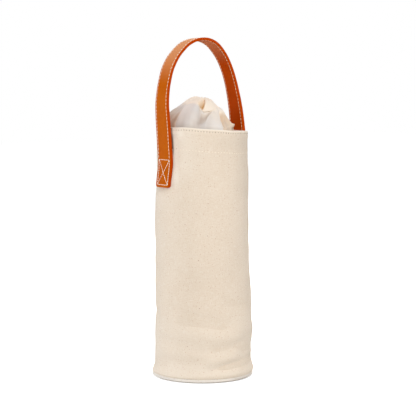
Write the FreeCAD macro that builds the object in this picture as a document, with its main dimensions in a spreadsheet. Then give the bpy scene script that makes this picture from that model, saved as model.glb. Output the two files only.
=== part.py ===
import FreeCAD, Part
import os
import re

import Sketcher

# Canvas bottle carrier: a round canvas body with a drawn cotton pouch inside, carried by a sewn leather strap.
# Millimetres. +Z is up, the origin is the middle of the foot, and the handle arches over the mouth along X.

sizes = {
    # canvas wall, with a soft roll just above the base seam
    "body_height": 280.0,
    "rim_radius": 50.9,
    "crease_radius": 55.2,
    "crease_height": 15.0,
    "roll_bulge": 1.9,
    "canvas_thickness": 1.2,
    "rim_round": 0.5,
    "seam_allowance": 10.0,
    "valley_width": 0.8,
    "valley_depth": 0.4,
    # base panel and its stiffener
    "base_radius": 55.4,
    "base_corner": 4.0,
    "base_edge_height": 4.7,
    "board_thickness": 2.0,
    "board_gap": 0.4,
    # facing inside the rim
    "facing_depth": 27.0,
    "facing_setback": 0.6,
    # cotton pouch
    "cotton_thickness": 0.5,
    "lining_setback": 2.0,
    "crown_rise": 35.0,
    "crown_bulge": 5.0,
    "mouth_radius": 10.5,
    "casing_radius": 4.5,
    "cord_radius": 1.5,
    # leather strap: two plies, sewn down as a tab at each end
    "strap_width": 22.0,
    "leather_ply": 1.7,
    "handle_clear": 98.3,
    "arch_spring": 21.5,
    "arch_crown_radius": 33.0,
    "tab_reach": 63.6,
    "tab_corner": 2.5,
    "hinge_drop": 15.0,
    "backing_margin": 4.0,
    # thread
    "thread": 0.5,
    "edge_margin": 2.2,
    "box_height": 28.0,
    "box_margin": 3.0,
    "topstitch_drop": 3.0,
    "hem_stitch_drop": 25.5,
    # clearances
    "layer_gap": 0.1,
    "soft_gap": 0.3,
    "tab_gap": 0.3,
    "swing_gap": 0.3,
    "glue_gap": 0.05,
    "thread_gap": 0.05,
    "overrun": 5.0,
}

doc = FreeCAD.newDocument("bottle_carrier")
sheet = doc.addObject("Spreadsheet::Sheet", "Sizes")
for row, (name, length) in enumerate(sizes.items(), start=1):
    sheet.set(f"A{row}", name)
    sheet.set(f"B{row}", str(length))
    sheet.setAlias(f"B{row}", name)
doc.recompute()

nodes = []


def formula(text):
    """Point each size named in a sum at its cell."""
    return re.sub(r"[a-z_]+", lambda word: f"Sizes.{word[0]}" if word[0] in sizes else word[0], text)


def value(text):
    return float(sheet.evalExpression(formula(text)))


def bind(target, prop, text):
    target.setExpression(prop, formula(text))


# Places that several pieces share, as sums of the sizes

def wall_radius(height):
    """Outer radius of the canvas at a height: a straight taper from the crease to the rim."""
    taper = "(crease_radius - rim_radius) / (body_height - crease_height)"
    return f"(crease_radius - ({height} - crease_height) * {taper})"


def lining_radius(height):
    """Outer radius of the cotton pouch, inside the wall and one more layer of canvas."""
    return f"({wall_radius(height)} - 2 * canvas_thickness - layer_gap - soft_gap)"


seam_height = "(base_edge_height + layer_gap)"
facing_bottom = "(body_height - facing_depth)"
board_bottom = "(canvas_thickness + layer_gap)"
lining_bottom = f"({board_bottom} + board_thickness + layer_gap)"
sleeve_bottom = f"({lining_bottom} + cotton_thickness + layer_gap)"
sleeve_top = "(body_height - lining_setback)"
casing_height = "(body_height + crown_rise - casing_radius)"

hinge_height = "(body_height - hinge_drop)"
tab_bottom = "(body_height - tab_reach)"
tab_top = f"({hinge_height} - strap_width / 2 - swing_gap)"
strap_thickness = "(2 * leather_ply + glue_gap)"
strap_inside = f"({wall_radius(tab_bottom)} + tab_gap)"
strap_outside = f"({strap_inside} + {strap_thickness})"
spring_height = "(body_height + arch_spring)"
stitch_row = "(strap_width / 2 - edge_margin)"


def origin_plane(body, role):
    return next(plane for plane in body.Origin.OriginFeatures if plane.Role == role)


def new_body(name):
    body = doc.addObject("PartDesign::Body", name)
    body.Label = name
    nodes.append(body)
    return body


def new_sketch(body, name, role):
    sketch = body.newObject("Sketcher::SketchObject", name)
    sketch.AttachmentSupport = [(origin_plane(body, role), "")]
    sketch.MapMode = "FlatFace"
    return sketch


def pin_point(sketch, edge, end, across, up):
    """Tie a point of the sketch to its two sums. Zero means on the axis."""
    for kind, axis, text in (("DistanceX", -2, across), ("DistanceY", -1, up)):
        if text == "0":
            sketch.addConstraint(Sketcher.Constraint("PointOnObject", edge, end, axis))
        else:
            index = sketch.addConstraint(Sketcher.Constraint(kind, -1, 1, edge, end, value(text)))
            bind(sketch, f"Constraints[{index}]", text)


def draw_outline(sketch, corners):
    """Closed outline. Each corner is (across, up) or (across, up, arc), where arc shapes the edge that follows:
    (bulge, radius) with bulge 1 to the left of travel and -1 to the right."""
    spots = [FreeCAD.Vector(value(corner[0]), value(corner[1]), 0) for corner in corners]
    edges = []
    for place, corner in enumerate(corners):
        begin = spots[place]
        finish = spots[(place + 1) % len(spots)]
        if len(corner) == 2:
            curve = Part.LineSegment(begin, finish)
        else:
            bulge, radius = corner[2]
            chord = finish - begin
            depth = value(radius) - (value(radius) ** 2 - (chord.Length / 2) ** 2) ** 0.5
            side = FreeCAD.Vector(-chord.y, chord.x, 0).normalize()
            curve = Part.Arc(begin, begin + chord / 2 + side * (bulge * depth), finish)
        edge = sketch.addGeometry(curve, False)
        first = 1 if sketch.getPoint(edge, 1).distanceToPoint(begin) < begin.distanceToPoint(finish) / 2 else 2
        edges.append((edge, first))
    for place, (edge, first) in enumerate(edges):
        after, after_first = edges[(place + 1) % len(edges)]
        sketch.addConstraint(Sketcher.Constraint("Coincident", edge, 3 - first, after, after_first))
        pin_point(sketch, edge, first, corners[place][0], corners[place][1])
        if len(corners[place]) == 3:
            radius = corners[place][2][1]
            index = sketch.addConstraint(Sketcher.Constraint("Radius", edge, value(radius)))
            bind(sketch, f"Constraints[{index}]", radius)


def draw_circle(sketch, across, up, radius):
    centre = FreeCAD.Vector(value(across), value(up), 0)
    edge = sketch.addGeometry(Part.Circle(centre, FreeCAD.Vector(0, 0, 1), value(radius)), False)
    pin_point(sketch, edge, 3, across, up)
    index = sketch.addConstraint(Sketcher.Constraint("Radius", edge, value(radius)))
    bind(sketch, f"Constraints[{index}]", radius)


def turn(body, sketch, kind="Revolution", angle=None):
    """Turn a sketch round +Z, right round or as a strip centred on the sketch's plane."""
    before = 0 if body.Shape.isNull() else body.Shape.Volume
    feature = body.newObject(f"PartDesign::{kind}", f"{sketch.Name}_{kind}")
    feature.Profile = sketch
    feature.ReferenceAxis = (sketch, ["V_Axis"])
    if angle:
        feature.Midplane = True
        bind(feature, "Angle", angle)
    doc.recompute()
    if (body.Shape.Volume > before) != (kind == "Revolution"):
        raise RuntimeError(f"{feature.Name} changed nothing")
    return feature


def turned(name, corners):
    """A piece turned right round from one closed outline."""
    body = new_body(name)
    sketch = new_sketch(body, f"{name}_outline", "XZ_Plane")
    draw_outline(sketch, corners)
    turn(body, sketch)
    return body


def turned_sleeve(name, outer, bottom, top, thickness):
    """A tapered sleeve between two heights, from its outer radius as a sum of the height."""
    return turned(name, [
        (outer(bottom), bottom),
        (outer(top), top),
        (f"{outer(top)} - {thickness}", top),
        (f"{outer(bottom)} - {thickness}", bottom),
    ])


def turned_disc(name, radius, bottom, thickness):
    top = f"{bottom} + {thickness}"
    return turned(name, [("0", bottom), (radius, bottom), (radius, top), ("0", top)])


def ring(name, radius, thickness, height):
    """A round cord or thread laid in a circle, from the circle's radius and the cord's own."""
    piece = doc.addObject("Part::Torus", name)
    piece.Label = name
    bind(piece, "Radius1", radius)
    bind(piece, "Radius2", thickness)
    bind(piece, "Placement.Base.z", height)
    nodes.append(piece)


def thread_ring(name, radius, height):
    ring(name, radius, "thread / 2", height)


def pad(body, sketch, length, centred=False):
    feature = body.newObject("PartDesign::Pad", f"{sketch.Name}_pad")
    feature.Profile = sketch
    feature.Midplane = centred
    bind(feature, "Length", length)
    doc.recompute()
    return feature


def strip_angle(width):
    """Angle that a strip of this width takes at the rim."""
    return f"({width}) / rim_radius * 180 / pi"


def bow_radius(chord_across, chord_up, bulge):
    """Radius of an arc that stands out of its chord by the bulge."""
    return f"((({chord_across})^2 + ({chord_up})^2) / (8 * {bulge}) + {bulge} / 2)"


# Canvas body: the tapered wall, the seam's two pressed-open allowances inside the back, the valley outside

def make_canvas_body():
    roll = bow_radius("base_radius - crease_radius", f"crease_height - {seam_height}", "roll_bulge")
    body = turned("canvas_body", [
        ("base_radius", seam_height, (-1, roll)),
        ("crease_radius", "crease_height"),
        ("rim_radius", "body_height"),
        ("rim_radius - canvas_thickness", "body_height"),
        ("crease_radius - canvas_thickness", "crease_height", (1, roll)),
        ("base_radius - canvas_thickness", seam_height),
    ])

    rim_span = 2 * value("rim_radius - canvas_thickness / 2")
    rim_edges = [
        f"Edge{index}" for index, edge in enumerate(body.Shape.Edges, start=1)
        if edge.BoundBox.ZMin > value("body_height - rim_round") and edge.BoundBox.XLength > rim_span
    ]
    wall = body.Tip
    fold = body.newObject("PartDesign::Fillet", "rim_fold")
    fold.Base = (wall, rim_edges)
    bind(fold, "Radius", "rim_round")
    doc.recompute()

    flap_top = f"({facing_bottom} - layer_gap)"
    flaps = new_sketch(body, "seam_allowances", "YZ_Plane")
    draw_outline(flaps, [
        ("crease_radius - canvas_thickness / 2", "crease_height"),
        (f"{wall_radius(flap_top)} - canvas_thickness / 2", flap_top),
        (f"{wall_radius(flap_top)} - 2 * canvas_thickness", flap_top),
        ("crease_radius - 2 * canvas_thickness", "crease_height"),
    ])
    turn(body, flaps, angle=strip_angle("2 * seam_allowance"))

    valley = new_sketch(body, "seam_valley", "YZ_Plane")
    draw_outline(valley, [
        ("crease_radius - valley_depth", "crease_height"),
        ("crease_radius + overrun", "crease_height"),
        ("rim_radius + overrun", "body_height"),
        ("rim_radius - valley_depth", "body_height"),
    ])
    turn(body, valley, "Groove", strip_angle("valley_width"))


# Base: the canvas dish under the seam, its board, and the thread that joins wall and dish

def make_base():
    flat = "base_radius - base_corner"
    turned("base_panel", [
        ("0", "0"),
        (flat, "0", (-1, "base_corner")),
        ("base_radius", "base_corner"),
        ("base_radius", "base_edge_height"),
        ("base_radius - canvas_thickness", "base_edge_height"),
        ("base_radius - canvas_thickness", "base_corner", (1, "base_corner - canvas_thickness")),
        (flat, "canvas_thickness"),
        ("0", "canvas_thickness"),
    ])
    turned_disc("base_board", f"{flat} - board_gap", board_bottom, "board_thickness")
    thread_ring("base_seam_stitching", "base_radius - canvas_thickness - thread_gap - thread / 2", seam_height)


# Rim: the facing band inside the mouth and the two thread rows that hold it

def make_rim():
    def facing_radius(height):
        return f"({wall_radius(height)} - canvas_thickness - layer_gap)"

    turned_sleeve("rim_facing", facing_radius, facing_bottom, "(body_height - facing_setback)", "canvas_thickness")
    for name, drop in (("rim_topstitching", "topstitch_drop"), ("hem_stitching", "hem_stitch_drop")):
        height = f"(body_height - {drop})"
        thread_ring(name, f"{wall_radius(height)} + thread_gap + thread / 2", height)


# Cotton pouch: sleeve and bottom inside the canvas, drawn crown above the rim, casing and cord at its mouth

def make_pouch():
    base = "(base_radius - 2 * canvas_thickness - layer_gap - soft_gap)"
    waist = lining_radius("crease_height")
    foot = lining_radius(sleeve_top)
    turned_disc("lining_base", base, lining_bottom, "cotton_thickness")
    turned("lining_sleeve", [
        (base, sleeve_bottom),
        (waist, "crease_height"),
        (foot, sleeve_top),
        (f"{foot} - cotton_thickness", sleeve_top),
        (f"{waist} - cotton_thickness", "crease_height"),
        (f"{base} - cotton_thickness", sleeve_bottom),
    ])

    foot_height = f"({sleeve_top} + layer_gap)"
    neck = "(mouth_radius + casing_radius + soft_gap)"
    bow = bow_radius(f"{foot} - {neck}", f"{casing_height} - {foot_height}", "crown_bulge")
    turned("pouch_crown", [
        (foot, foot_height, (-1, bow)),
        (neck, casing_height),
        (neck, f"{casing_height} - cotton_thickness", (1, bow)),
        (f"{foot} - cotton_thickness", foot_height),
    ])

    casing = new_body("mouth_casing")
    tube = new_sketch(casing, "casing_tube", "XZ_Plane")
    draw_circle(tube, "mouth_radius", casing_height, "casing_radius")
    draw_circle(tube, "mouth_radius", casing_height, "casing_radius - cotton_thickness")
    turn(casing, tube)
    slack = "(casing_radius - cotton_thickness - cord_radius - soft_gap)"
    ring("gathering_cord", f"mouth_radius - {slack}", "cord_radius", casing_height)


# Handle: a three-centred arch of constant thickness. Its lower ends are rounded about the line they swing on

def arch_band(inner, outer, end):
    """Outline of a band between two distances out from the strap's inside face, with legs down to a height."""
    rise = "(handle_clear - arch_spring - arch_crown_radius)"
    side = f"((({strap_inside})^2 + {rise}^2 - arch_crown_radius^2) / (2 * ({strap_inside} - arch_crown_radius)))"
    reach = f"({side} - arch_crown_radius)"
    shift = f"({side} - {strap_inside})"

    def edge(distance):
        radius = f"({side} + {distance})"
        leg = f"({strap_inside} + {distance})"
        across = f"({radius} * {shift} / {reach} - {shift})"
        up = f"({spring_height} + {radius} * {rise} / {reach})"
        return leg, radius, across, up, f"(arch_crown_radius + {distance})"

    leg, radius, across, up, crown = edge(outer)
    outside = [
        (leg, end),
        (leg, spring_height, (-1, radius)),
        (across, up, (-1, crown)),
        (f"-{across}", up, (-1, radius)),
        (f"-{leg}", spring_height),
        (f"-{leg}", end),
    ]
    leg, radius, across, up, crown = edge(inner)
    inside = [
        (f"-{leg}", end),
        (f"-{leg}", spring_height, (1, radius)),
        (f"-{across}", up, (1, crown)),
        (across, up, (1, radius)),
        (leg, spring_height),
        (leg, end),
    ]
    return outside + inside


def make_handle():
    half = "strap_width / 2"
    wide = f"({half} + overrun)"
    end = f"({hinge_height} - {half})"
    plies = (
        ("handle_inner_leather", "0", "leather_ply"),
        ("handle_outer_leather", "(leather_ply + glue_gap)", strap_thickness),
    )
    for name, inner, outer in plies:
        body = new_body(name)
        arch = new_sketch(body, f"{name}_arch", "XZ_Plane")
        draw_outline(arch, arch_band(inner, outer, end))
        pad(body, arch, "strap_width", centred=True)
        square = body.Shape.Volume
        ends = new_sketch(body, f"{name}_ends", "YZ_Plane")
        draw_outline(ends, [
            (half, hinge_height),
            (wide, hinge_height),
            (wide, f"{end} - overrun"),
            (f"-{wide}", f"{end} - overrun"),
            (f"-{wide}", hinge_height),
            (f"-{half}", hinge_height, (-1, half)),
            ("0", end, (-1, half)),
        ])
        rounding = body.newObject("PartDesign::Pocket", f"{name}_rounding")
        rounding.Profile = ends
        rounding.Type = "ThroughAll"
        rounding.Midplane = True
        doc.recompute()
        if body.Shape.Volume >= square:
            raise RuntimeError(f"{name}: the ends are still square")

    rows = new_body("handle_stitching")
    rows.AllowCompound = True
    row = new_sketch(rows, "stitch_row", "XZ_Plane")
    bind(row, "AttachmentOffset.Base.z", f"{stitch_row} - thread / 2")
    draw_outline(row, arch_band(f"({strap_thickness} + thread_gap)", f"({strap_thickness} + thread_gap + thread)",
                                hinge_height))
    draw_outline(row, arch_band("(-thread_gap - thread)", "(-thread_gap)", hinge_height))
    one_side = pad(rows, row, "thread")
    both = rows.newObject("PartDesign::Mirrored", "both_rows")
    both.Originals = [one_side]
    both.MirrorPlane = (origin_plane(rows, "XZ_Plane"), [""])
    rows.Tip = both


# Tabs: the sewn ends of the strap, two plies each, with box-and-cross stitching and a canvas backing inside

def make_tabs():
    half = "strap_width / 2"
    for side, way in (("left", "-"), ("right", "")):
        layers = (("inner", strap_inside), ("outer", f"({strap_inside} + leather_ply + glue_gap)"))
        for layer, inside in layers:
            body = new_body(f"{side}_tab_{layer}_leather")
            tab = new_sketch(body, f"{side}_{layer}_tab", "YZ_Plane")
            draw_outline(tab, [
                (half, tab_top),
                (f"-{half}", tab_top),
                (f"-{half}", f"{tab_bottom} + tab_corner", (-1, "tab_corner")),
                (f"-{half} + tab_corner", tab_bottom),
                (f"{half} - tab_corner", tab_bottom, (-1, "tab_corner")),
                (half, f"{tab_bottom} + tab_corner"),
            ])
            pad(body, tab, "leather_ply")
            stand(body, way, inside, "leather_ply")
        make_box_stitch(f"{side}_tab_stitching", way)
        make_backing(f"{side}_tab_backing", way)


def stand(body, way, inside, thickness):
    """Stand a slab at its distance from the middle, on the -X or +X side."""
    bind(body, "Placement.Base.x", f"-({inside} + {thickness})" if way else inside)


def make_box_stitch(name, way):
    half = stitch_row
    low = f"({tab_bottom} + box_margin)"
    high = f"({low} + box_height)"
    slant = "(2 * thread)"
    body = new_body(name)
    frame = new_sketch(body, f"{name}_box", "YZ_Plane")
    for inset in ("0", "thread"):
        draw_outline(frame, [
            (f"{half} - {inset}", f"{low} + {inset}"),
            (f"{half} - {inset}", f"{high} - {inset}"),
            (f"-({half} - {inset})", f"{high} - {inset}"),
            (f"-({half} - {inset})", f"{low} + {inset}"),
        ])
    pad(body, frame, "thread")
    for lean, (begin, finish) in (("rise", (low, high)), ("fall", (high, low))):
        bar = new_sketch(body, f"{name}_{lean}", "YZ_Plane")
        draw_outline(bar, [
            (f"-{half}", begin),
            (f"-{half} + {slant}", begin),
            (half, finish),
            (f"{half} - {slant}", finish),
        ])
        pad(body, bar, "thread")
    stand(body, way, f"({strap_outside} + thread_gap)", "thread")


def make_backing(name, way):
    low = f"({tab_bottom} - backing_margin)"
    high = f"({facing_bottom} - layer_gap)"
    body = new_body(name)
    patch = new_sketch(body, f"{name}_section", "XZ_Plane")
    corners = []
    for depth, heights in (("layer_gap", (low, high)), ("(layer_gap + canvas_thickness)", (high, low))):
        for height in heights:
            corners.append((f"{wall_radius(height)} - canvas_thickness - {depth}", height))
    draw_outline(patch, corners)
    turn(body, patch, angle=strip_angle("strap_width + 2 * backing_margin"))
    if way:
        body.Placement = FreeCAD.Placement(FreeCAD.Vector(), FreeCAD.Rotation(FreeCAD.Vector(0, 0, 1), 180))


make_canvas_body()
make_base()
make_rim()
make_pouch()
make_handle()
make_tabs()
doc.recompute()

for item in doc.Objects:
    if "Invalid" in item.State or "Error" in item.State:
        raise RuntimeError(f"{item.Label} failed: {item.State}")
for node in nodes:
    if node.Shape.isNull() or not node.Shape.isValid():
        raise RuntimeError(f"{node.Label} has no valid shape")

os.makedirs("parts", exist_ok=True)
for node in nodes:
    node.Shape.exportStep(f"parts/{node.Label}.step")
    print(f"{node.Label}: {len(node.Shape.Solids)} solids, {node.Shape.Volume:.1f} mm3")
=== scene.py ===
import math
import bpy
import bmesh
import numpy as np
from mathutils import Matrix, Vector


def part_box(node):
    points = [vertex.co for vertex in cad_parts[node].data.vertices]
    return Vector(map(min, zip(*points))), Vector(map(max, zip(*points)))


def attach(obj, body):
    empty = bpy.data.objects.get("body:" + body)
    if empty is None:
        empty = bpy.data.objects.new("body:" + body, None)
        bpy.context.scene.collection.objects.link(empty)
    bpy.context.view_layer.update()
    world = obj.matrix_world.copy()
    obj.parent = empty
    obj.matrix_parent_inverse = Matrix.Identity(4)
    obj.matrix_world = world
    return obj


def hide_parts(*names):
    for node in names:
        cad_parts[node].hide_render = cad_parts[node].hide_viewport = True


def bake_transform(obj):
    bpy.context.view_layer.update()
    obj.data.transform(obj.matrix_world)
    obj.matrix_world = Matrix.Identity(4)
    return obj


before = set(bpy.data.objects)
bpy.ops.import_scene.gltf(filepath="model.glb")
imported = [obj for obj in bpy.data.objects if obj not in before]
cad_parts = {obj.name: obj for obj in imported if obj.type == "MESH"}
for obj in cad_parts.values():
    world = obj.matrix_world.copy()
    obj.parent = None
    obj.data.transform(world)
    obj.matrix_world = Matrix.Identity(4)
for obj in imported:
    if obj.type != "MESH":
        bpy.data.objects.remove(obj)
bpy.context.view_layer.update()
print("frame loaded:", len(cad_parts), "CAD nodes")

mm = 0.001  # shapes below are worked out in millimetres and become metres in their meshes
photoSide = 231  # degrees round Z, from +X, to the side of the carrier that faces the camera


# Small helpers

def cadLimits(node):
    low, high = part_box(node)
    return np.array(low) / mm, np.array(high) / mm


def ease(low, high, value):
    share = np.clip((value - low) / (high - low), 0, 1)
    return share * share * (3 - 2 * share)


def fall(low, high, value):
    return 1 - ease(low, high, value)


def band(low, full, fade, high, value):
    # rises from low to full and falls from fade to high
    return ease(low, full, value) * fall(fade, high, value)


def hump(value, centre, width):
    return np.exp(-((value - centre) / width) ** 2)


def turnGap(first, second):
    return (first - second + 180) % 360 - 180  # degrees, the short way round


def nearTurn(turn, centre, width):
    return hump(turnGap(turn, centre), 0, width)


def drift(seed, turn, height, waves, mostAround, shortest):
    # gentle unevenness that closes on itself round the carrier, about 1 high
    draw = np.random.default_rng(seed)
    total = np.zeros(np.broadcast(turn, height).shape)
    for wave in range(waves):
        around = int(draw.integers(0, mostAround + 1))
        upward = draw.uniform(-1, 1) * 2 * math.pi / shortest
        total += np.cos(around * np.radians(turn) + upward * height + draw.uniform(0, 2 * math.pi))
    return total / math.sqrt(waves / 2)


def onTurn(turn, radius, height):
    angle = np.radians(photoSide + turn)
    return np.stack(np.broadcast_arrays(radius * np.cos(angle), radius * np.sin(angle), height), axis=-1)


def roundTurns(count, start=0):
    return start + np.arange(count) * 360 / count


def clothGrid(radius, count, upward):
    # the cloth's own measure: round the piece at this radius, and along it
    across = np.arange(count + 1) * 2 * math.pi * radius / count
    return np.stack(np.meshgrid(across, upward), axis=-1)


def newObject(name, data):
    thing = bpy.data.objects.new(name, data)
    bpy.context.scene.collection.objects.link(thing)
    return thing


def gridObject(name, points, around=True, along=False, caps=False, cloth=None):
    # a quad mesh from rows of points; around and along say which way it closes on itself
    rows, columns = points.shape[:2]
    row, column = np.meshgrid(
        np.arange(rows if along else rows - 1), np.arange(columns if around else columns - 1), indexing="ij")
    nextRow = (row + 1) % rows
    nextColumn = (column + 1) % columns
    quads = np.stack([row * columns + column, row * columns + nextColumn,
                      nextRow * columns + nextColumn, nextRow * columns + column], axis=-1).reshape(-1, 4)
    faces = quads.tolist()
    if caps:
        faces.append(list(range(columns))[::-1])
        faces.append(list(range((rows - 1) * columns, rows * columns)))
    mesh = bpy.data.meshes.new(name)
    mesh.from_pydata((points.reshape(-1, 3) * mm).tolist(), [], faces)
    if cloth is not None:
        corners = np.stack([cloth[row, column], cloth[row, column + 1],
                            cloth[row + 1, column + 1], cloth[row + 1, column]], axis=2)
        layer = mesh.uv_layers.new(name="cloth")
        layer.data.foreach_set("uv", (corners * mm).astype(np.float32).ravel())
    mesh.shade_smooth()
    return newObject(name, mesh)


def faceOut(thing):
    # a closed mesh whose volume comes out negative is inside out
    mesh = thing.data
    mesh.calc_loop_triangles()
    corners = np.zeros(len(mesh.loop_triangles) * 3, np.int32)
    mesh.loop_triangles.foreach_get("vertices", corners)
    places = np.zeros(len(mesh.vertices) * 3, np.float32)
    mesh.vertices.foreach_get("co", places)
    first, second, third = places.reshape(-1, 3)[corners.reshape(-1, 3)].astype(float).transpose(1, 0, 2)
    if float((first * np.cross(second, third)).sum()) < 0:
        mesh.flip_normals()
    return thing


def closePoles(thing):
    work = bmesh.new()
    work.from_mesh(thing.data)
    bmesh.ops.remove_doubles(work, verts=work.verts, dist=1e-7)
    work.to_mesh(thing.data)
    work.free()
    thing.data.shade_smooth()
    return faceOut(thing)


def paintPoints(thing, name, values):
    layer = thing.data.attributes.new(name, "FLOAT", "POINT")
    layer.data.foreach_set("value", np.asarray(values, np.float32).ravel())


def dress(thing, material, slotName, *nodes):
    if material is not None:
        thing.data.materials.clear()
        thing.data.materials.append(material)
    if nodes:
        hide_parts(*nodes)


def applyModifiers(thing):
    solid = bpy.data.meshes.new_from_object(thing.evaluated_get(bpy.context.evaluated_depsgraph_get()))
    solid.name = thing.name
    thing.modifiers.clear()
    thing.data = solid


def joinPieces(name, things):
    work = bmesh.new()
    for thing in things:
        work.from_mesh(thing.data)
    mesh = bpy.data.meshes.new(name)
    work.to_mesh(mesh)
    work.free()
    mesh.shade_smooth()
    for thing in things:
        bpy.data.objects.remove(thing)
    return newObject(name, mesh)


# Materials

def newFinish(name, roughness, specular, sheen=0):
    finish = bpy.data.materials.new(name)
    finish.use_nodes = True
    shader = finish.node_tree.nodes["Principled BSDF"]
    shader.inputs["Roughness"].default_value = roughness
    shader.inputs["Specular IOR Level"].default_value = specular
    shader.inputs["Sheen Weight"].default_value = sheen
    return finish, finish.node_tree, shader


def addNode(tree, kind, settings=None, **inputs):
    node = tree.nodes.new(kind)
    for name, value in (settings or {}).items():
        setattr(node, name, value)
    for name, value in inputs.items():
        key = int(name[1:]) if name[0] == "i" and name[1:].isdigit() else name
        if isinstance(value, bpy.types.NodeSocket):
            tree.links.new(value, node.inputs[key])
        else:
            node.inputs[key].default_value = value
    return node


def srgb(red, green, blue):
    def straight(value):
        value = value / 255
        return value / 12.92 if value <= 0.04045 else ((value + 0.055) / 1.055) ** 2.4
    return (straight(red), straight(green), straight(blue), 1)


def sums(tree, kind, first, second=0.5):
    return addNode(tree, "ShaderNodeMath", {"operation": kind}, i0=first, i1=second).outputs[0]


def blendColour(tree, share, first, second):
    # a colour is a socket, or red, green and blue as a picture editor shows them
    mix = addNode(tree, "ShaderNodeMix", {"data_type": "RGBA"})
    for socket, value in ((mix.inputs[0], share), (mix.inputs[6], first), (mix.inputs[7], second)):
        if isinstance(value, bpy.types.NodeSocket):
            tree.links.new(value, socket)
        else:
            socket.default_value = srgb(*value) if isinstance(value, tuple) else value
    return mix.outputs[2]


def paintOver(tree, shader, look, ground, coats):
    # coats over a ground: how much of each one shows, and which colour of the look it has
    colour = look[ground]
    for share, tone in coats:
        colour = blendColour(tree, share, colour, look[tone])
    tree.links.new(colour, shader.inputs["Base Color"])


def painted(tree, name):
    return addNode(tree, "ShaderNodeAttribute", {"attribute_name": name}).outputs["Fac"]


def ownPlace(tree):
    return addNode(tree, "ShaderNodeTexCoord").outputs["Object"]


def speckle(tree, where, scale, detail=2, roughness=0.5):
    noise = addNode(tree, "ShaderNodeTexNoise", Vector=where, Scale=scale, Detail=detail,
                    Roughness=roughness)
    return noise.outputs[0]


def rangeOf(tree, value, low, high, newLow=0, newHigh=1):
    node = addNode(tree, "ShaderNodeMapRange", i0=value, i1=low, i2=high, i3=newLow, i4=newHigh)
    return node.outputs[0]


def cloud(tree, where, grain, low, high, newLow=0, newHigh=1):
    return rangeOf(tree, speckle(tree, where, *grain), low, high, newLow, newHigh)


def addBump(tree, shader, height, distance, strength):
    relief = addNode(tree, "ShaderNodeBump", Height=height, Distance=distance, Strength=strength)
    tree.links.new(relief.outputs[0], shader.inputs["Normal"])


def weave(tree, pitch):
    # plain weave on the cloth's own UV, in metres: threads go over and under in turn
    place = addNode(tree, "ShaderNodeUVMap", {"uv_map": "cloth"}).outputs[0]
    split = addNode(tree, "ShaderNodeSeparateXYZ", i0=place)
    yarns = []
    for way in (0, 1):
        phase = sums(tree, "MULTIPLY", split.outputs[way], math.pi / pitch)
        yarns.append(sums(tree, "ABSOLUTE", sums(tree, "SINE", phase)))
    check = addNode(tree, "ShaderNodeTexChecker", Vector=place, Scale=1 / pitch).outputs[1]
    height = addNode(tree, "ShaderNodeMix", {"data_type": "FLOAT"}, i0=check, i2=yarns[0], i3=yarns[1])
    return place, height.outputs[0]


# three tones here are painted light: the near-white one a painted highlight, the grey-brown one a painted
# shade, the dark brown one a painted shadow beside the strap
canvasLook = {"colour": (237, 222, 204), "shade": (222, 203, 180), "pale": (246, 237, 225),
              "wornAndHighlight": (253, 243, 229), "paintedShadeTone": (150, 132, 112), "paintedLight": (104, 50, 14),
              "fleck": (196, 150, 112), "seed": (168, 116, 78), "pitch": 0.00062}
# specks of husk left in the yarn, many small ones and a few larger and darker:
# cells to a metre, size in its cell, share of empty cells, strength
huskSpecks = {"fleck": (230, 0.075, 0.3, 0.7), "seed": (75, 0.032, 0.5, 0.7)}


def canvasFinish(name, look):
    finish, tree, shader = newFinish(name, roughness=0.92, specular=0.2, sheen=0.15)
    place, threads = weave(tree, look["pitch"])
    mottle = cloud(tree, ownPlace(tree), (42, 3), 0.3, 0.7)
    heather = cloud(tree, place, (620, 3, 0.7), 0.42, 0.68, 0, 0.52)
    coats = [(mottle, "colour"), (0.74, "colour"), (heather, "shade")]
    # slubs: yarns a little thicker and paler than their neighbours, both ways
    for stretch in ((160, 2400, 1), (2400, 160, 1)):
        turned = addNode(tree, "ShaderNodeMapping", Vector=place, Scale=stretch).outputs[0]
        coats.append((cloud(tree, turned, (1, 2), 0.52, 0.8, 0, 0.87), "pale"))
    coats.append((rangeOf(tree, threads, 0, 0.55, 0.32, 0), "shade"))  # between the threads
    # painted highlight, painted shade and a painted shadow beside the strap, read from each point's
    # attributes
    for mark, tone in (("paintedHighlight", "wornAndHighlight"), ("paintedShade", "paintedShadeTone"), ("strapShadow", "paintedLight")):
        coats.append((painted(tree, mark), tone))
    for kind, (cells, size, bare, strength) in huskSpecks.items():
        spots = addNode(tree, "ShaderNodeTexVoronoi", {"voronoi_dimensions": "2D"}, Vector=place,
                        Scale=cells)
        split = addNode(tree, "ShaderNodeSeparateColor", i0=spots.outputs[1])
        reach = rangeOf(tree, split.outputs[1], 0, 1, 0.5 * size, 1.3 * size)
        near = rangeOf(tree, sums(tree, "DIVIDE", spots.outputs[0], reach), 0.55, 1.25, strength, 0)
        chosen = rangeOf(tree, split.outputs[0], bare, bare + 0.1)
        coats.append((sums(tree, "MULTIPLY", near, chosen), kind))
    paintOver(tree, shader, look, "shade", coats)
    addBump(tree, shader, threads, 0.00022, 0.55)
    return finish


# the tan colour is painted shade, for the slit and beside the crease
cottonLook = {"colour": (226, 222, 219), "cream": (245, 232, 215), "slitShade": (202, 150, 78),
              "shade": (170, 152, 139), "pitch": 0.00034}


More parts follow.
